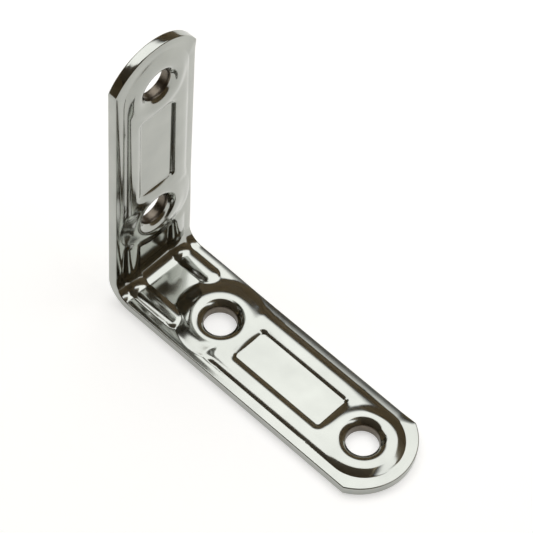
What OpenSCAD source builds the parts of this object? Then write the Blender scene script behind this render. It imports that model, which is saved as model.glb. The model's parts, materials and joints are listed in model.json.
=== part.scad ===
// Corner plate: one blank of sheet steel, pressed with rings and side beads,
// pierced and countersunk, then folded once to a right angle.
// The lying leg runs along +X and the standing leg along +Z, with their backs outward.

/* [Plate] */
// Length of each leg, from the back of the other leg to its tip
leg_l = 50; // [44:1:90]
// Width across the plate
plate_w = 14.8; // [13.8:0.1:24]
// Thickness of the sheet
sheet_t = 1.6; // [1.2:0.1:2.2]
// Inside radius of the fold
fold_r = 2.5; // [1.5:0.1:4]
// How far the round tip stands out beyond its two corners
tip_bow = 4.3; // [2:0.1:6]

/* [Edges] */
// Width of the front edge that the blanking die rolled over
roll_w = 1.3; // [0.8:0.1:1.6]
// Drop of that rolled edge
roll_drop = 0.25; // [0.15:0.05:0.35]
// Bevel left along the back edge
back_bevel = 0.2; // [0.1:0.05:0.4]

/* [Holes] */
// Diameter of the screw holes
hole_d = 4.8; // [3.5:0.1:5.4]
// Diameter of each countersink at its rim
sink_d = 7; // [6:0.1:7.6]
// Straight wall left under each countersink
hole_land = 1.1; // [0.4:0.05:1.15]
// From the back of the other leg to the hole beside the fold
inner_hole = 15; // [13:0.5:18]
// From the tip to the outer hole
tip_hole = 7.5; // [6.5:0.1:10]

/* [Pressing] */
// Height of the ring around each hole
ring_h = 0.65; // [0.5:0.05:0.75]
// From the countersink's rim to the crest of the ring
ring_lip = 0.4; // [0.3:0.1:0.8]
// From the crest of the ring down to its foot
ring_slope = 2.1; // [1.9:0.05:2.2]
// Height of the side beads
bead_h = 0.45; // [0.3:0.05:0.6]
// Width of a side bead at its foot
bead_w = 3.2; // [2.8:0.1:3.4]
// Rim between a side bead's foot and the edge
rim_w = 1.4; // [1:0.1:2]
// From a hole to the end of the bead that runs into its ring from the side of the fold
bead_gap = 3.2; // [3:0.1:3.6]
// From the inner hole to the end of the bead that leaves its ring towards the tip
bead_lead = 4.2; // [4:0.1:4.6]
// From a hole to the crest of the bar that closes the panel beside it
bar_gap = 4.2; // [4.1:0.05:4.4]

/* [Back] */
// How much narrower, on each side, the hollow behind a pressing is
hollow_inset = 0.85; // [0.75:0.05:0.95]
// How much shallower that hollow is
hollow_less = 0.15; // [0.1:0.05:0.2]

/* [Hidden] */
$fn = 72;
// Room that cutting shapes leave beyond the sheet
clear = 1;
// Slope at which the rolled edge leaves the flat, in degrees
roll_start = 5;
outer_r = fold_r + sheet_t;
outer_hole = leg_l - tip_hole;
tip_r = (pow(plate_w / 2, 2) + pow(tip_bow, 2)) / (2 * tip_bow);
tip_x = leg_l - tip_r;
roll_slope = atan(roll_drop / roll_w);
roll_r = norm([roll_w, roll_drop]) / (2 * sin(roll_slope - roll_start));
// How far the root of a pressing reaches into the sheet
root_t = 0.4;
bead_y = plate_w / 2 - rim_w - bead_w / 2;
ring_crest_r = sink_d / 2 + ring_lip;
// The bars end under the crests of the side beads, so they stay a little lower
bar_h = bead_h - 0.05;

// Radius of an arc that rises by height over half its width
function arc_r(half_w, height) = (half_w * half_w + height * height) / (2 * height);

// Half of a round end: the quarter disc above the line y = 0
module quarter_disc(r) {
    intersection() {
        circle(r);
        square(r);
    }
}

// What the die took off a front edge that lies at the distance edge from the middle
module roll_cut(edge) {
    start = edge - roll_w;
    apex = start - roll_r * sin(roll_start);
    difference() {
        translate([apex, sheet_t - 2 * roll_drop])
            square([edge - apex + clear, 2 * roll_drop + 2 * clear]);
        translate([apex, sheet_t - roll_r * cos(roll_start)])
            circle(roll_r, $fn = 180);
    }
}

// Section across the bare strip, with its back on the line y = 0
module strip_section() {
    half = plate_w / 2;
    difference() {
        polygon([[back_bevel - half, 0], [half - back_bevel, 0], [half, back_bevel],
                 [half, sheet_t], [-half, sheet_t], [-half, back_bevel]]);
        for (side = [0, 1])
            mirror([side, 0])
                roll_cut(half);
    }
}

// Section across a bead, cut off inside the sheet
module bead_section(half_w, height, base) {
    r = arc_r(half_w, height);
    intersection() {
        translate([0, base + height - r])
            circle(r);
        translate([-r, max(base - root_t, -clear)])
            square([2 * r, 2 * r]);
    }
}

// The front beads and the hollows behind them, both sides at once
module front_beads() {
    for (side = [-1, 1])
        translate([side * bead_y, 0])
            bead_section(bead_w / 2, bead_h, sheet_t);
}

module back_hollows() {
    for (side = [-1, 1])
        translate([side * bead_y, 0])
            bead_section(bead_w / 2 - hollow_inset, bead_h - hollow_less, 0);
}

// Carries a section drawn across the strip along the lying leg, from x0 to x1
module along_leg(x0, x1) {
    translate([x0, 0, 0])
        rotate([90, 0, 90])
            linear_extrude(x1 - x0)
                children();
}

// Carries the same section round the fold
module round_fold() {
    translate([outer_r, 0, outer_r])
        rotate([90, 180, 0])
            rotate_extrude(angle = 90, $fn = 120)
                translate([outer_r, 0])
                    rotate(90)
                        children();
}

// A straight bead from x0 to x1, turned about its own axis and cut off inside the sheet.
// Its end is round at x1, and at x0 too where blunt is 0.
module bead(x0, x1, half_w, height, base, blunt) {
    r = arc_r(half_w, height);
    span = x1 - x0;
    for (side = [-1, 1])
        intersection() {
            translate([x0, side * bead_y, base + height - r])
                rotate([0, 90, 0])
                    rotate_extrude($fn = 96) {
                        square([r, span]);
                        translate([0, span])
                            quarter_disc(r);
                        if (!blunt)
                            mirror([0, 1])
                                quarter_disc(r);
                    }
            translate([x0 - r, side * bead_y - r, max(base - root_t, -clear)])
                cube([span + 2 * r, 2 * r, 2 * r]);
        }
}

// Bar across the strip at x, from one side bead to the other
module cross_bar(x) {
    translate([x, bead_y, 0])
        rotate([90, 0, 0])
            linear_extrude(2 * bead_y)
                bead_section(bead_w / 2, bar_h, sheet_t);
}

// Outline of the round tip as a turned disc, rolled and bevelled like the sides
module tip_disc() {
    translate([tip_x, 0, 0])
        rotate_extrude($fn = 180)
            difference() {
                polygon([[0, -clear], [tip_r - back_bevel - clear, -clear], [tip_r, back_bevel],
                         [tip_r, sheet_t + clear], [0, sheet_t + clear]]);
                roll_cut(tip_r);
            }
}

// Bare lying leg, from the fold to the tip
module bare_leg() {
    along_leg(outer_r, tip_x)
        strip_section();
    intersection() {
        along_leg(tip_x, leg_l + clear)
            strip_section();
        tip_disc();
    }
}

// Ring pressed up around a hole
module ring(x, half_w, height, base) {
    r = arc_r(half_w, height);
    translate([x, 0, 0])
        rotate_extrude($fn = 120)
            intersection() {
                translate([ring_crest_r, base + height - r])
                    circle(r);
                translate([0, max(base - root_t, -clear)])
                    square([2 * ring_crest_r, 3 * r]);
            }
}

// Screw hole with its countersink
module screw_hole(x) {
    rim_z = sheet_t + ring_h;
    flare = (sink_d - hole_d) / 2 / (rim_z - hole_land);
    translate([x, 0, 0])
        rotate_extrude($fn = 120)
            polygon([[0, -clear], [hole_d / 2, -clear], [hole_d / 2, hole_land],
                     [sink_d / 2 + flare * clear, rim_z + clear], [0, rim_z + clear]]);
}

// One leg: the bare strip with its pressings, less the hollows behind them and the holes
module leg() {
    corner_end = inner_hole - bead_gap;
    lead_x = inner_hole + bead_lead;
    long_end = outer_hole - bead_gap;
    back_half = bead_w / 2 - hollow_inset;
    back_h = bead_h - hollow_less;
    back_slope = ring_slope - hollow_inset;
    back_ring_h = ring_h - hollow_less;
    difference() {
        union() {
            bare_leg();
            ring(inner_hole, ring_slope, ring_h, sheet_t);
            ring(outer_hole, ring_slope, ring_h, sheet_t);
            bead(outer_r, corner_end, bead_w / 2, bead_h, sheet_t, true);
            bead(lead_x, long_end, bead_w / 2, bead_h, sheet_t, false);
            cross_bar(inner_hole + bar_gap);
            cross_bar(outer_hole - bar_gap);
        }
        screw_hole(inner_hole);
        screw_hole(outer_hole);
        ring(inner_hole, back_slope, back_ring_h, 0);
        ring(outer_hole, back_slope, back_ring_h, 0);
        bead(outer_r, corner_end, back_half, back_h, 0, true);
        bead(lead_x, long_end, back_half, back_h, 0, false);
    }
}

// The fold, with the side beads running through it
module fold() {
    round_fold()
        difference() {
            union() {
                strip_section();
                front_beads();
            }
            back_hollows();
        }
}

module corner_plate() {
    color("silver")
        translate([-leg_l / 2, 0, 0]) {
            fold();
            leg();
            mirror([1, 0, -1])
                leg();
        }
}

corner_plate();
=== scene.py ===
# %% [markdown]
# A pressed corner plate.
#
# The real object is one strip of sheet steel. A press raised a ring around each screw hole and beads
# along the sides, a die cut the outline, one fold made the right angle, and bright plating covers it all.
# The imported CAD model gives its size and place. It could be shown as it is, but a mirror shows every
# facet, so this lesson lays a finer skin in its place, with the soft shoulders that a press leaves. Then
# it builds a small studio, because polished metal looks like what stands around it.

import json
import math

import bmesh
import bpy
import numpy as np
from mathutils import Matrix, Vector

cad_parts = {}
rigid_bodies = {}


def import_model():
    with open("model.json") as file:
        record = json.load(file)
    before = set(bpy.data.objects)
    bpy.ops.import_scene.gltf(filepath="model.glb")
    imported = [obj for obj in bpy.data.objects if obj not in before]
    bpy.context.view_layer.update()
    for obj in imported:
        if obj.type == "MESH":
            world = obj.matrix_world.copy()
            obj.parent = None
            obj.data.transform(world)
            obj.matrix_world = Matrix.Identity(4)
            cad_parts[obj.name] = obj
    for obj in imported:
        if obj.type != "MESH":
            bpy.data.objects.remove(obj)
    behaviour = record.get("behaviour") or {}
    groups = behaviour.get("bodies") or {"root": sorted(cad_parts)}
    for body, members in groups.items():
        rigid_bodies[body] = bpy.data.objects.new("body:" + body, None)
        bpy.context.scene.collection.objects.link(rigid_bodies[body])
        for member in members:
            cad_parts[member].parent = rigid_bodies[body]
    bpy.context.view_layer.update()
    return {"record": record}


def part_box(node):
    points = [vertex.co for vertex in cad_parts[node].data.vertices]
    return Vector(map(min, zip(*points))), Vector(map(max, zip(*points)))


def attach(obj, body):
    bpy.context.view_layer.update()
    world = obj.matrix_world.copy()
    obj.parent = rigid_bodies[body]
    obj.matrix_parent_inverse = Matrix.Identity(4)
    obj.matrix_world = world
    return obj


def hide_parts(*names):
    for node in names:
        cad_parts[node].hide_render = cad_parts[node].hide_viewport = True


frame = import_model()

# %% [markdown]
# The sizes could all be typed in again, but then the skin and the CAD model might drift apart. So the box
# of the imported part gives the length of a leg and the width, and its record says where the screw holes
# are. Only what those can't tell, such as the thickness of the sheet, is written here. All of it is in
# millimetres. On the lying leg x runs from the back of the standing leg to the tip, y across the plate.

# %% Sizes of the plate
MM = 0.001
low, high = (np.array(corner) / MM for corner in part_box("corner_plate"))
corner_x = low[0]
leg_l = high[0] - low[0]
plate_w = high[1] - low[1]
mounts = {mount["name"]: mount for mount in frame["record"]["mounts"]}
holes = mounts["lying_holes"]
hole_middle = holes["pos_m"][0] / MM - corner_x
hole_half_spacing = holes["dims"]["spacing_x_mm"] / 2
hole_r = holes["dims"]["hole_r_mm"]
hole_xs = [hole_middle - hole_half_spacing, hole_middle + hole_half_spacing]
sheet_t = 1.6
tip_bow = 4.3
tip_r = ((plate_w / 2) ** 2 + tip_bow**2) / (2 * tip_bow)
tip_x = leg_l - tip_r
print(f"legs {leg_l:.1f} mm, width {plate_w:.1f} mm")
print(f"holes at {hole_xs[0]:.1f} and {hole_xs[1]:.1f} mm, radius {hole_r} mm")

# %% [markdown]
# A pressed form is a wall that climbs from the flat sheet to a level top. It could be modelled by hand
# and bevelled, but reflections would show every uneven spot. Here its height is a formula over the flat
# strip instead: first how far a point lies inside the foot of a form, then how high the wall is at that
# depth. These four helpers are all that the formulas need.

# %% Helpers for soft forms


def smooth_step(t):
    """Rises from 0 to 1, with a level start and a level end."""
    t = np.clip(t, 0, 1)
    return t * t * (3 - 2 * t)


def soft_max(a, b, soft):
    """The larger of two values, rounded off where they differ by less than soft."""
    return np.maximum(a, b) + np.clip(soft - np.abs(a - b), 0, None) ** 2 / (4 * soft)


def box_distance(x, y, half_x, half_y, corner_r):
    """How far a point is outside a box with round corners about the origin; negative inside."""
    qx = np.abs(x) - half_x + corner_r
    qy = np.abs(y) - half_y + corner_r
    outside = np.hypot(np.clip(qx, 0, None), np.clip(qy, 0, None))
    return outside + np.minimum(np.maximum(qx, qy), 0) - corner_r


def wall(depth, width, top):
    """Height of a wall at that depth inside its foot: an arc that is level once it reaches the top."""
    r = (width**2 + top**2) / (2 * top)
    left = np.clip(width - depth, 0, r)
    return np.sqrt(r**2 - left**2) - (r - top)


print("smooth step at 1/4, 1/2 and 3/4:", smooth_step(np.array([0.25, 0.5, 0.75])))

# %% [markdown]
# Seen from above, three raised forms run into each other on a leg: a long frame with a round end about
# the tip's hole, a ring about the hole beside the fold, and two beads that go on through the fold. The
# press didn't make the two sides alike. On the near side, where y is below 0, the frame's wall is steeper.
# On the far side it slumps beside the tip's hole, and there the ring has a wider skirt. Joined solids
# would have a crease where they meet, so a soft maximum joins the depths.

# %% Where the raised forms are
bead_h = 0.42
bead_half = 1.6
rim_w = 1.4
foot_y = plate_w / 2 - rim_w
bead_y = foot_y - bead_half
first_foot_r = 6.6
first_wall = 2.6
skirt_r = 6.3
skirt_wall = 3.0
skirt_shift = 0.65
near_gap = 4.6
far_gap = 6.5
frame_x = hole_xs[0] + 2.2
frame_corner_r = 1.6
near_steeper = 0.3
near_reach = 3.0
slump_x = hole_xs[1] - 3.0
slump_reach = 3.0
slump_more = 0.7
join_soft = 0.9
close_join_soft = join_soft / 2


def raised_depth(x, y):
    """How far a point lies inside the foot of the raised frame, the inner ring or a bead at the fold."""
    strip_end = hole_xs[0] - np.where(y < 0, near_gap, far_gap)
    strip = bead_half - np.hypot(x - np.minimum(x, strip_end), np.abs(y) - bead_y)
    ring = (first_foot_r - np.hypot(x - hole_xs[0], y)) * bead_half / first_wall
    skirt_away = np.hypot(x - hole_xs[0] + skirt_shift, y - skirt_shift)
    ring = soft_max(ring, (skirt_r - skirt_away) * bead_half / skirt_wall, close_join_soft)
    end = foot_y - np.hypot(np.clip(x - hole_xs[1], 0, None), y)
    square = -box_distance(x - frame_x - leg_l / 2, y, leg_l / 2, foot_y, frame_corner_r)
    steeper = 1 + near_steeper * smooth_step(-y / near_reach)
    slump = np.exp(-(((x - slump_x) / slump_reach) ** 2)) * (y > 0)
    frame_depth = np.minimum(end, square) * steeper / (1 + slump_more * slump)
    return soft_max(soft_max(frame_depth, ring, join_soft), strip, close_join_soft)


print(f"beads {bead_y:.2f} mm from the middle, {2 * bead_half} mm wide and {bead_h} mm high")

# %% [markdown]
# Inside the frame lies a panel that the press left at the level of the sheet, and each ring swells a
# little above the beads. So the height is the lower of two walls, one that climbs inwards from the foot
# of the raised forms and one that climbs outwards from the panel, with a low dome added about each hole.
# The same formula, drawn in and lowered, will serve for the hollows in the back.

# %% Height of the pressing
panel_x = (hole_xs[0] + 5.7, hole_xs[1] - 5.9)
panel_y = foot_y - 2 * bead_half
panel_corner_r = 0.45
panel_wall = 1.25
dome_h = 0.22
dome_from_r = 4.0
dome_to_rs = (6.2, 5.7)
ring_h = bead_h + dome_h
foot_soft = 0.04


def pressing(x, y, inset, less):
    """Height of the pressing, with every foot drawn in by inset and every crest lowered by less."""
    top = bead_h - less
    panel_half = (panel_x[1] - panel_x[0]) / 2
    panel = box_distance(x - sum(panel_x) / 2, y, panel_half, panel_y, panel_corner_r)
    height = np.minimum(
        wall(raised_depth(x, y) - inset, bead_half - inset, top),
        wall(panel - inset, panel_wall - inset / 2, top),
    )
    for hole_x, dome_to_r in zip(hole_xs, dome_to_rs):
        down = smooth_step((np.hypot(x - hole_x, y) - dome_from_r) / (dome_to_r - dome_from_r))
        height = height + dome_h * (1 - down) * np.clip(height / top, 0, 1)
    return soft_max(height, np.zeros_like(x), foot_soft)


print(f"panel {panel_x[1] - panel_x[0]:.1f} by {2 * panel_y:.1f} mm; rings {ring_h} mm high")

# %% [markdown]
# The blanking die pulled the front edge down as it cut, so the rim rolls over before it ends. A bevel
# modifier would round the edge alike all along, but here the roll is narrow round the tip and grows
# wider along the far side of the leg. It depends only on how far a point is from the outline, so it is
# one more term of the height.

# %% Front of the strip
roll_w = 1.9
narrow_roll_w = 0.8
roll_drop = 0.3
roll_start = math.tan(math.radians(5))
roll_slope = roll_drop / roll_w
widen_from_x = 7.4
widen_over = 10.9
narrow_from_x = 43.0
narrow_over = 3.0


def edge_distance(x, y):
    """How far a point lies inside the outline."""
    side = plate_w / 2 - np.abs(y)
    tip = np.where(x > tip_x, tip_r - np.hypot(x - tip_x, y), side)
    return np.minimum(side, tip)


def rolled(edge, width):
    """How far the front has dropped at that distance from an edge whose roll has that width."""
    into = np.clip(width - edge, 0, None)
    return into * roll_start + into**2 * (roll_slope - roll_start) / width


def front_height(x, y):
    widened = smooth_step((x - widen_from_x) / widen_over)
    wide = widened * (1 - smooth_step((x - narrow_from_x) / narrow_over))
    far_side = rolled(plate_w / 2 - y, narrow_roll_w + (roll_w - narrow_roll_w) * wide)
    all_round = rolled(edge_distance(x, y), narrow_roll_w)
    return sheet_t + pressing(x, y, 0, 0) - np.maximum(all_round, far_side)


panel_mid = np.array([sum(panel_x) / 2])
far_edge = front_height(panel_mid, np.array([plate_w / 2]))[0]
print(f"the far edge beside the panel has dropped {sheet_t - far_edge:.2f} mm")

# %% [markdown]
# The press pushed metal through the sheet, so the back has a hollow behind each raised form, shallower
# and narrower than the form itself. A flat back would look right from the front, but the part is seen
# from all sides. The hollows fade out before each hole, where the back is flat again.

# %% Back of the strip
hollow_less = 0.15
hollow_inset = 0.85
back_land = 0.25


def back_height(x, y):
    hollow = pressing(x, y, hollow_inset, hollow_less)
    for hole_x in hole_xs:
        hollow = hollow * smooth_step((np.hypot(x - hole_x, y) - hole_r - back_land) / hollow_inset)
    return hollow


bead_back = back_height(panel_mid, np.array([bead_y]))[0]
print(f"hollow behind a bead beside the panel: {bead_back:.2f} mm deep")

# %% [markdown]
# The fold is one bend about an axis across the strip, and the beads go through it. A bend modifier could
# turn a finished strip, but then the fold's two ends would need care. Here each point is placed directly:
# up to the middle of the fold its way along the strip becomes an angle, and its height a smaller radius.

# %% Fold
fold_r = 2.5
outer_r = fold_r + sheet_t
fold_mid_r = fold_r + sheet_t / 2
fold_x = outer_r - fold_mid_r * math.pi / 4


def on_strip(x, y, height):
    """The point at that height over the back of the strip, with the fold's half of it bent round."""
    turn = np.clip((outer_r - x) / fold_mid_r, 0, math.pi / 4)
    radius = outer_r - height
    bent = x < outer_r
    px = np.where(bent, outer_r - radius * np.sin(turn), x)
    pz = np.where(bent, outer_r - radius * np.cos(turn), height)
    return np.stack([px, y + 0 * px, pz], -1)


print(f"the fold takes {2 * (outer_r - fold_x):.2f} mm of the strip")

# %% [markdown]
# A subdivided grid could carry the heights, but its squares would cut across the holes in steps. So the
# mesh is laid out to follow the form: plain grids over the fold and the panel, and around each hole
# circles that widen until they meet the grids. All sheets share the same points where they meet. Half the
# plate is made, from the middle of the fold to one tip, and the other half will be its mirror image.

# %% Points along the outline
across_n = 72
block_reach = 6.6
fold_n = 34
block_n = 48
panel_n = 64
end_n = 40
tip_n = 64
# The points across the strip stand closer over the beads than over the flat panel in the middle.
middle_share_of_points = 0.22
middle_share_of_width = 0.36
half_across = np.linspace(0, 1, across_n // 2 + 1)
half_across = np.interp(half_across, [0, middle_share_of_points, 1], [0, middle_share_of_width, 1])
across = np.concatenate([-half_across[:0:-1], half_across])


def run_x(inset):
    """The points along a long edge, stretch by stretch, from the fold to the tip's corner."""
    half = plate_w / 2 - inset
    corner = tip_x + math.sqrt((tip_r - inset) ** 2 - half**2)
    first_block = [hole_xs[0] - block_reach, hole_xs[0] + block_reach]
    stops = [fold_x, *first_block, hole_xs[1] - block_reach, corner]
    counts = [fold_n, block_n, panel_n, end_n]
    return [np.linspace(a, b, n + 1) for a, b, n in zip(stops, stops[1:], counts)]


def tip_points(inset):
    """The points round the tip, from its near corner to its far corner."""
    half = plate_w / 2 - inset
    reach = math.asin(half / (tip_r - inset))
    turn = np.linspace(-reach, reach, tip_n + 1)
    return tip_x + (tip_r - inset) * np.cos(turn), (tip_r - inset) * np.sin(turn)


def outline(inset):
    """The points along the near edge, round the tip and back along the far edge."""
    half = plate_w / 2 - inset
    along = np.concatenate([part[:-1] for part in run_x(inset)])
    arc_x, arc_y = tip_points(inset)
    x = np.concatenate([along, arc_x, along[::-1]])
    y = np.concatenate([np.full_like(along, -half), arc_y, np.full_like(along, half)])
    return x, y


print("points on half the outline:", len(outline(0)[0]))

# %% [markdown]
# Each hole was punched and then countersunk, so it is a turned form. Cutting it out with a boolean would
# leave ragged triangles in a mirror finish. A profile in radius and height, spun round the hole, keeps
# clean quads: a broken edge at the back, the straight bore, the countersink, and a rounded lip up to the
# crest of the ring.

# %% Profile of a hole
ring_crest_r = 3.9
lip_r = 1.75
sink_slope = math.radians(41)
break_r = 0.12
break_bow = 0.3
lip_n = 8
sink_n = 8
bore_n = 5

crest_z = sheet_t + ring_h
turn = np.linspace(sink_slope, 0, lip_n)
lip = np.stack([ring_crest_r - lip_r * np.sin(turn), crest_z - lip_r * (1 - np.cos(turn))], -1)
bore_top = lip[0, 1] - (lip[0, 0] - hole_r) * math.tan(sink_slope)
sink = np.linspace([hole_r + break_r, bore_top + break_r], lip[0], sink_n)[:-1]
bore = np.linspace([hole_r, break_r], [hole_r, bore_top - break_r], bore_n)
back_break = [[hole_r + break_r, 0], [hole_r + break_bow * break_r, break_bow * break_r]]
profile = np.concatenate([back_break, bore, sink, lip])
bore_rows = len(back_break) + len(bore)
print(f"bore {bore_top:.2f} mm high, countersink from {hole_r:.2f} to {ring_crest_r:.2f} mm radius")

# %% [markdown]
# Every part of the skin is a sheet of quads, a table of points in rows and columns. Three helpers make
# them: one keeps a sheet, one lays a plain grid, and one lays the circles about a hole. The closed loops
# that those circles grow into follow the grids' last rows and the outline, so nothing is left to trim.

# %% Helpers for sheets of quads
quad_sheets = []
sheared_shaded_rows = []


def add_sheet(points, flip, sheared=0):
    """Keep a sheet of points; sheared is how many of its first rows of quads the punch left bare; they
    take the bores' colour, which is partly painted shade.
    """
    quad_sheets.append(points[::-1] if flip else points)
    sheared_shaded_rows.append(sheared)


def add_grid(x, half, height, flip):
    gx, gy = np.meshgrid(x, half * across, indexing="ij")
    add_sheet(on_strip(gx, gy, height(gx, gy)), flip)


def add_hole_block(hole_x, loop, radii, outer_n, height, flip):
    """Circles around a hole that widen in outer_n steps to a closed loop; returns their directions."""
    loop = np.concatenate([loop, loop[:1]])
    turn = np.arctan2(loop[:, 1], loop[:, 0] - hole_x)
    ray = np.stack([np.cos(turn), np.sin(turn)], -1)
    middle = np.array([hole_x, 0])
    rows = [middle + r * ray for r in radii]
    last = rows[-1]
    rows += [last + (loop - last) * k / outer_n for k in range(1, outer_n + 1)]
    plan = np.array(rows)
    x, y = plan[..., 0], plan[..., 1]
    add_sheet(on_strip(x, y, height(x, y)), flip)
    return ray


def hole_loops(inset):
    """The closed outline of the block around each hole, going round from the fold's far side."""
    half = plate_w / 2 - inset
    _, block_part, _, end_part = run_x(inset)
    y = half * across
    loops = []
    for part in (block_part, end_part):
        left = np.stack([np.full_like(y, part[0]), y], -1)[::-1]
        right = np.stack([np.full_like(y, part[-1]), y], -1)
        if part is end_part:
            right = np.stack(tip_points(inset), -1)
        near = np.stack([part, np.full_like(part, -half)], -1)
        far = near[::-1] * [1, -1]
        loops.append(np.concatenate([left[:-1], near[:-1], right[:-1], far[:-1]]))
    return loops


print("points round each hole:", [len(loop) for loop in hole_loops(0)])

# %% [markdown]
# The front carries the reflections, so it gets many rows about each hole, and the back makes do with
# fewer. Both are the same layout with another height, which one loop shows best. The bores hang on the
# front's innermost circles, where they use the same directions.

# %% Front, back and bores of half the plate
edge_r = 0.18
last_circle_r = 6.15
front_circle_n = 20
back_circle_n = 10
front_outer_n = 12
back_outer_n = 3

front_radii = np.linspace(ring_crest_r, last_circle_r, front_circle_n)
back_radii = np.linspace(hole_r + break_r, last_circle_r, back_circle_n)
half = plate_w / 2 - edge_r
fold_part, _, panel_part, _ = run_x(edge_r)
for height, radii, outer_n, is_back in (
    (front_height, front_radii, front_outer_n, False),
    (back_height, back_radii, back_outer_n, True),
):
    add_grid(fold_part, half, height, is_back)
    add_grid(panel_part, half, height, is_back)
    for hole_x, loop in zip(hole_xs, hole_loops(edge_r)):
        ray = add_hole_block(hole_x, loop, radii, outer_n, height, is_back)
        if not is_back:
            spun = np.array([[hole_x, 0]]) + profile[:, None, :1] * ray[None]
            z = np.broadcast_to(profile[:, 1:], spun.shape[:2])
            add_sheet(on_strip(spun[..., 0], spun[..., 1], z), False, bore_rows)
print("sheets for front, back and bores:", len(quad_sheets))

# %% [markdown]
# The cut edge runs all round the strip. Plating rounds its two corners, which matters more than it seems:
# a sharp corner has no highlight, and a small radius draws the thin bright line that makes an edge look
# like metal. The rows follow a quarter circle down from the front, the side, and another to the back.

# %% Edge of half the plate
corner_n = 5
side_heights = (0.9, 0.5)

front_x, front_y = outline(edge_r)
rim_z = front_height(front_x, front_y)
quarter = np.linspace(0, math.pi / 2, corner_n + 1)
edge_rows = []
for turn in quarter:
    x, y = outline(edge_r * (1 - math.sin(turn)))
    edge_rows.append(on_strip(x, y, rim_z - edge_r * (1 - math.cos(turn))))
for z in side_heights:
    x, y = outline(0)
    edge_rows.append(on_strip(x, y, np.full_like(x, z)))
for turn in quarter:
    x, y = outline(edge_r * (1 - math.cos(turn)))
    edge_rows.append(on_strip(x, y, np.full_like(x, edge_r * (1 - math.sin(turn)))))
add_sheet(np.array(edge_rows), False)
print("quads in half the plate:", sum((s.shape[0] - 1) * (s.shape[1] - 1) for s in quad_sheets))

# %% [markdown]
# The standing leg is the lying one seen in a mirror that stands at 45 degrees in the fold, so its points
# are the same with x and z exchanged. A mirror modifier could do it, but then the seam in the fold would
# have to be checked by eye. A mirror turns faces inside out, so each quad is also reversed.

# %% Both halves as one mesh
vertices = []
faces = []
slots = []
point_n = 0
for mirrored in (False, True):
    for sheet, sheared in zip(quad_sheets, sheared_shaded_rows):
        rows, columns = sheet.shape[:2]
        points = sheet.reshape(-1, 3)
        index = point_n + np.arange(rows * columns).reshape(rows, columns)
        corners = [index[:-1, :-1], index[1:, :-1], index[1:, 1:], index[:-1, 1:]]
        quads = np.stack(corners, -1).reshape(-1, 4)
        vertices.append(points[:, ::-1] if mirrored else points)
        faces.append(quads[:, ::-1] if mirrored else quads)
        # The first rows of each bore take the sheared steel colour, which is darkened as painted shade.
        slots.append(np.repeat(np.arange(rows - 1), columns - 1) < sheared)
        point_n += len(points)
points = (np.concatenate(vertices) + [corner_x, 0, 0]) * MM
mesh = bpy.data.meshes.new("plate_skin")
mesh.from_pydata(points.tolist(), [], np.concatenate(faces).tolist())
mesh.polygons.foreach_set("material_index", np.concatenate(slots).astype(np.int32))
plate = bpy.data.objects.new("plate_skin", mesh)
bpy.context.collection.objects.link(plate)
print("points before the weld:", point_n)

# %% [markdown]
# Sheets that only touch would shade as separate plates and leave the solid open. Welding the points that
# lie together makes one closed skin. Counting the edges that don't have exactly two faces proves it, and
# a closed skin has a volume that can be set against the CAD model's.

# %% Weld the sheets
weld_gap = 0.002 * MM
skin_mesh = bmesh.new()
skin_mesh.from_mesh(mesh)
bmesh.ops.remove_doubles(skin_mesh, verts=skin_mesh.verts, dist=weld_gap)
bmesh.ops.recalc_face_normals(skin_mesh, faces=skin_mesh.faces)
open_edges = sum(1 for edge in skin_mesh.edges if len(edge.link_faces) != 2)
print(f"welded to {len(skin_mesh.verts)} points; open edges: {open_edges}")
print(f"volume {skin_mesh.calc_volume() / MM**3:.0f} mm3")
skin_mesh.to_mesh(mesh)
skin_mesh.free()
for polygon in mesh.polygons:
    polygon.use_smooth = True

# %% [markdown]
# Materials are made of nodes. Colours are written as they look on a screen, in sRGB hex, and Blender
# reckons in linear light, so one function converts them. Another adds a node with its settings and its
# links in one line, which keeps each material short enough to read.

# %% Helpers for materials


def linear(hex_colour):
    channels = [int(hex_colour[i : i + 2], 16) / 255 for i in (1, 3, 5)]
    return [c / 12.92 if c <= 0.04045 else ((c + 0.055) / 1.055) ** 2.4 for c in channels] + [1]


def new_material(name):
    material = bpy.data.materials.new(name)
    material.use_nodes = True
    material.node_tree.nodes.clear()
    return material, material.node_tree


def add_node(tree, kind, settings=None, links=None):
    """Add a node; settings go to its sockets or, where it has no such socket, to its properties."""
    node = tree.nodes.new(kind)
    for key, value in (settings or {}).items():
        if isinstance(key, int) or key in node.inputs:
            node.inputs[key].default_value = value
        else:
            setattr(node, key, value)
    for key, source in (links or {}).items():
        tree.links.new(source, node.inputs[key])
    return node


print("the grey #808080 in linear light:", [round(c, 3) for c in linear("#808080")])

# %% [markdown]
# The finish is bright nickel, plated on cold-rolled sheet. Nickel is a mirror with a faint warmth, so the
# eye sees the room in it more than a colour. The rolled sheet under it is never quite flat: waves a few
# millimetres long and a few thousandths deep bend the reflections a little, and the plating is a shade
# darker and duller in some places than in others. One noise with the length of those waves drives the
# bump, the colour and the roughness. An image of stains would do as well, but not at every size.

# %% Bright nickel plating
wave_l = 4.5 * MM
wave_depth = 0.006 * MM
# A noise seldom leaves the middle of its span, so only this part of it is spread over the roughness.
noise_low = 0.3
noise_high = 0.7
bright_roughness = 0.1
dull_roughness = 0.14
colour_a = 6
colour_b = 7
mixed_colour = 2

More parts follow.
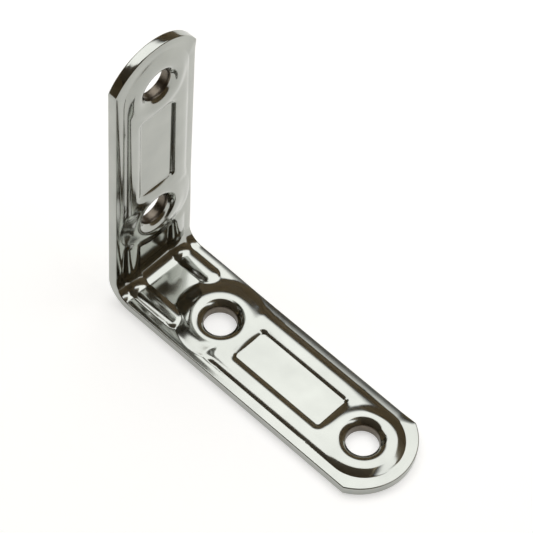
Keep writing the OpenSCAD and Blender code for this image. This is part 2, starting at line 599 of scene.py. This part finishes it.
nickel, tree = new_material("bright_nickel_plating")
place = add_node(tree, "ShaderNodeTexCoord")
waves = add_node(
    tree,
    "ShaderNodeTexNoise",
    {"Scale": 1 / wave_l, "Detail": 2.0, "Roughness": 0.5},
    {"Vector": place.outputs["Object"]},
)
clouds = add_node(
    tree,
    "ShaderNodeMix",
    {"data_type": "RGBA", colour_a: linear("#9EA09B"), colour_b: linear("#B2B4AE")},
    {"Factor": waves.outputs["Fac"]},
)
gloss = add_node(
    tree,
    "ShaderNodeMapRange",
    {"From Min": noise_low, "From Max": noise_high, "To Min": bright_roughness, "To Max": dull_roughness},
    {"Value": waves.outputs["Fac"]},
)
bump = add_node(
    tree, "ShaderNodeBump", {"Strength": 1.0, "Distance": wave_depth}, {"Height": waves.outputs["Fac"]}
)
plating = add_node(
    tree,
    "ShaderNodeBsdfPrincipled",
    {"Metallic": 1.0},
    {
        "Base Color": clouds.outputs[mixed_colour],
        "Roughness": gloss.outputs["Result"],
        "Normal": bump.outputs["Normal"],
    },
)
add_node(tree, "ShaderNodeOutputMaterial", links={"Surface": plating.outputs["BSDF"]})
mesh.materials.append(nickel)
print("plating:", nickel.name, "with waves of", wave_l / MM, "mm")

# %% [markdown]
# Inside the holes the punch sheared the steel, and little plating gets in there. The eye sees a darker,
# browner and duller wall with a torn grain. Part of that darkness is painted shade: the colours are darker
# than bare sheared steel, because the paper seen in the bores glows for reflections and shows no shadow
# there.
# The real grain is far finer than the picture can show, so it is drawn coarser here, at 0.4 mm. It could
# share the plating's material, but then the holes would lose the dark rims, partly painted shade, that set
# them off.

# %% Sheared steel in the bores, darkened as painted shade
grain_l = 0.4 * MM
grain_depth = 0.02 * MM

sheared_steel_and_shade, tree = new_material("sheared_edge")
place = add_node(tree, "ShaderNodeTexCoord")
grain = add_node(
    tree, "ShaderNodeTexNoise", {"Scale": 1 / grain_l, "Detail": 2.0}, {"Vector": place.outputs["Object"]}
)
# Painted shade: both colours are darker than bare sheared steel, to stand for the shade inside the bores.
tone = add_node(
    tree,
    "ShaderNodeMix",
    {"data_type": "RGBA", colour_a: linear("#5C554B"), colour_b: linear("#80786D")},
    {"Factor": grain.outputs["Fac"]},
)
bump = add_node(
    tree, "ShaderNodeBump", {"Strength": 1.0, "Distance": grain_depth}, {"Height": grain.outputs["Fac"]}
)
torn = add_node(
    tree,
    "ShaderNodeBsdfPrincipled",
    {"Metallic": 1.0, "Roughness": 0.35},
    {"Base Color": tone.outputs[mixed_colour], "Normal": bump.outputs["Normal"]},
)
add_node(tree, "ShaderNodeOutputMaterial", links={"Surface": torn.outputs["BSDF"]})
mesh.materials.append(sheared_steel_and_shade)
print("quads of sheared steel:", sum(polygon.material_index for polygon in mesh.polygons))

# %% [markdown]
# The skin now takes the place of the CAD solid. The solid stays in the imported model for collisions, and
# the skin rides on the one body that the plate has, since nothing on it moves.

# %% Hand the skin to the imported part
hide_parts("corner_plate")
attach(plate, "root")
print("pieces on the root body:", plate.name)

# %% [markdown]
# The plate lies on white paper. More light would make the paper white, but it would wash out the metal
# too. So the paper glows a little for the camera and for reflections only, and keeps its shadow. It lies
# a hair below the plate, because two surfaces in the same place would flicker.

# %% White paper floor
floor_size = 6.0
floor_gap = 0.05 * MM
floor_glow = 0.54

bpy.ops.mesh.primitive_plane_add(size=floor_size, location=(0, 0, -floor_gap))
floor = bpy.context.object
floor.name = "floor"
white_paper, tree = new_material("white_paper_floor")
paper = add_node(tree, "ShaderNodeBsdfDiffuse", {"Color": linear("#E6E6E4")})
path = add_node(tree, "ShaderNodeLightPath")
seen = path.outputs["Is Camera Ray"]
for ray_kind in ("Is Glossy Ray", "Is Transmission Ray"):
    either = add_node(
        tree, "ShaderNodeMath", {"operation": "MAXIMUM"}, {0: seen, 1: path.outputs[ray_kind]}
    )
    seen = either.outputs[0]
lift = add_node(tree, "ShaderNodeMath", {"operation": "MULTIPLY", 1: floor_glow}, {0: seen})
glow = add_node(tree, "ShaderNodeEmission", {}, {"Strength": lift.outputs[0]})
both = add_node(tree, "ShaderNodeAddShader", {}, {0: paper.outputs[0], 1: glow.outputs[0]})
add_node(tree, "ShaderNodeOutputMaterial", links={"Surface": both.outputs[0]})
floor.data.materials.append(white_paper)
print("floor:", floor_size, "m wide")

# %% [markdown]
# The camera stands high on the near side, towards the tip of the lying leg, and looks down into the corner
# with a long lens, so the legs hardly narrow with distance. It could be placed by hand and aimed with a
# constraint. Its angles, distance and lens were fitted to the object's outline in the picture instead, so
# here they become one matrix.

# %% Camera
view_azimuth = math.radians(49.452)
view_elevation = math.radians(54.937)
view_roll = math.radians(4.363)
view_distance = 378.559
target = np.array([19.677 + corner_x, 3.613, 16.162])
frame_px = 533
focal_px = 2771.154
sensor_w = 36
nearest_seen = 0.01

level_part = math.cos(view_elevation)
towards = np.array(
    [
        math.cos(view_azimuth) * level_part,
        -math.sin(view_azimuth) * level_part,
        math.sin(view_elevation),
    ]
)
level = np.array([math.sin(view_azimuth), math.cos(view_azimuth), 0])
upward = np.cross(towards, level)
right = math.cos(view_roll) * level + math.sin(view_roll) * upward
up = math.cos(view_roll) * upward - math.sin(view_roll) * level
eye = (target + view_distance * towards) * MM
camera_data = bpy.data.cameras.new("camera")
camera = bpy.data.objects.new("camera", camera_data)
bpy.context.collection.objects.link(camera)
camera.matrix_world = Matrix(
    [[right[i], up[i], towards[i], eye[i]] for i in range(3)] + [[0, 0, 0, 1]]
)
camera_data.sensor_width = sensor_w
camera_data.lens = focal_px * sensor_w / frame_px
camera_data.clip_start = nearest_seen
bpy.context.scene.camera = camera
print(f"camera {view_distance:.0f} mm away, lens {camera_data.lens:.0f} mm")

# %% [markdown]
# Flat metal that faces up mirrors what hangs beyond the plate, so that is where a studio hangs its main
# light: a softbox overhead, a wide white cloth that dims towards its far side. A smaller fill to the
# right whitens the walls that face that way. Area lamps would light the plate as well, but a mirror needs
# something to show, and a cloth can fade from side to side. Each is a level quad whose own map, in shares
# of its span, says where the light goes: X from left to right, Y away from the camera.

# %% Lit cloths
box_z = 0.7
box_radiance = 2.05
fill_radiance = 2.0
away = Vector((-math.cos(view_azimuth), math.sin(view_azimuth), 0))
sideways = Vector((math.sin(view_azimuth), math.cos(view_azimuth), 0))


def add_level_sheet(name, along, sides, z):
    """A level quad that the camera looks through; along is its span away from it, sides to the right."""
    corners = [away * a + sideways * b + Vector((0, 0, z)) for a in along for b in sides]
    sheet = bpy.data.meshes.new(name)
    sheet.from_pydata(corners, [], [(0, 1, 3, 2)])
    hung = bpy.data.objects.new(name, sheet)
    bpy.context.collection.objects.link(hung)
    hung.visible_camera = False
    return sheet


def add_lit_cloth(name, along, sides, radiance, fades):
    """A lit cloth; each fade gives its way and the two shares where its light is full and gone."""
    sheet = add_level_sheet(name, along, sides, box_z)
    shares = sheet.uv_layers.new(name="shares")
    for loop, share in zip(shares.data, ((0, 0), (1, 0), (1, 1), (0, 1))):
        loop.uv = share
    cloth, tree = new_material(name + "_cloth")
    place = add_node(tree, "ShaderNodeUVMap", {"uv_map": "shares"})
    place = add_node(tree, "ShaderNodeSeparateXYZ", {}, {0: place.outputs[0]})
    light = None
    for way, full_at, gone_at in fades:
        fade = add_node(
            tree,
            "ShaderNodeMapRange",
            {
                "interpolation_type": "SMOOTHSTEP",
                "From Min": full_at,
                "From Max": gone_at,
                "To Min": 1.0 if light else radiance,
                "To Max": 0.0,
            },
            {"Value": place.outputs[way]},
        )
        if light:
            links = {0: light.outputs[0], 1: fade.outputs[0]}
            fade = add_node(tree, "ShaderNodeMath", {"operation": "MULTIPLY"}, links)
        light = fade
    glow = add_node(tree, "ShaderNodeEmission", {}, {"Strength": light.outputs[0]})
    add_node(tree, "ShaderNodeOutputMaterial", links={"Surface": glow.outputs[0]})
    sheet.materials.append(cloth)


box_along = (0.04 * box_z, 1.3 * box_z)
box_sides = (-0.9 * box_z, 0.85 * box_z)
add_lit_cloth("overhead_softbox", box_along, box_sides, box_radiance, [("Y", 0.62, 1.0)])
fill_along = (-0.6 * box_z, 0.04 * box_z)
fill_sides = (0.36 * box_z, 0.95 * box_z)
fill_fades = [("Y", 0.3, 0.0), ("X", 0.4, 0.0), ("X", 0.6, 1.0)]
add_lit_cloth("right_fill", fill_along, fill_sides, fill_radiance, fill_fades)
print(f"lit cloths {box_z} m up, radiance {box_radiance} and {fill_radiance}")

# %% [markdown]
# The dark lines round the pressed forms are as telling as the bright ones: they are walls that mirror
# something dark. A studio hangs a flag for that, a plain board near the camera that keeps the light off.
# It could be left to an empty world, but a grey-brown board gives the lines the warm tone of a real room.

# %% Dark flag near the camera
flag_z = 0.95 * box_z
flag_along = (-1.1 * flag_z, 0.03 * flag_z)
flag_sides = (-1.5 * flag_z, 0.3 * flag_z)

board = add_level_sheet("near_flag", flag_along, flag_sides, flag_z)
flag_cloth, tree = new_material("flag_cloth")
felt = add_node(tree, "ShaderNodeBsdfDiffuse", {"Color": linear("#968B7B")})
add_node(tree, "ShaderNodeOutputMaterial", links={"Surface": felt.outputs[0]})
board.materials.append(flag_cloth)
print(f"flag {flag_z:.2f} m up")

# %% [markdown]
# A booth of buff cloth closes the studio, so that metal mirrors a dim warm wall where no light hangs. Its
# cloth isn't dark itself: little light reaches it. A black world would make the same places dead black.
# The camera looks through the cloth and sees white air beyond the paper.

# %% Booth and air
booth_r = 1.6
booth_half_h = 1.0
booth_sides = 96

bpy.ops.mesh.primitive_cylinder_add(vertices=booth_sides, radius=booth_r, depth=2 * booth_half_h)
booth = bpy.context.object
booth.name = "booth"
buff_cloth, tree = new_material("buff_cloth")
cloth = add_node(tree, "ShaderNodeBsdfDiffuse", {"Color": linear("#C9BAA0")})
add_node(tree, "ShaderNodeOutputMaterial", links={"Surface": cloth.outputs[0]})
booth.data.materials.append(buff_cloth)
booth.visible_camera = False

world = bpy.data.worlds.new("studio_air")
bpy.context.scene.world = world
world.use_nodes = True
tree = world.node_tree
tree.nodes.clear()
air = add_node(tree, "ShaderNodeBackground", {"Color": linear("#FFFFFF"), "Strength": 1.0})
add_node(tree, "ShaderNodeOutputWorld", links={"Surface": air.outputs[0]})
bpy.context.scene.view_settings.view_transform = "Standard"
print(f"booth {2 * booth_r} m across and {2 * booth_half_h} m high")
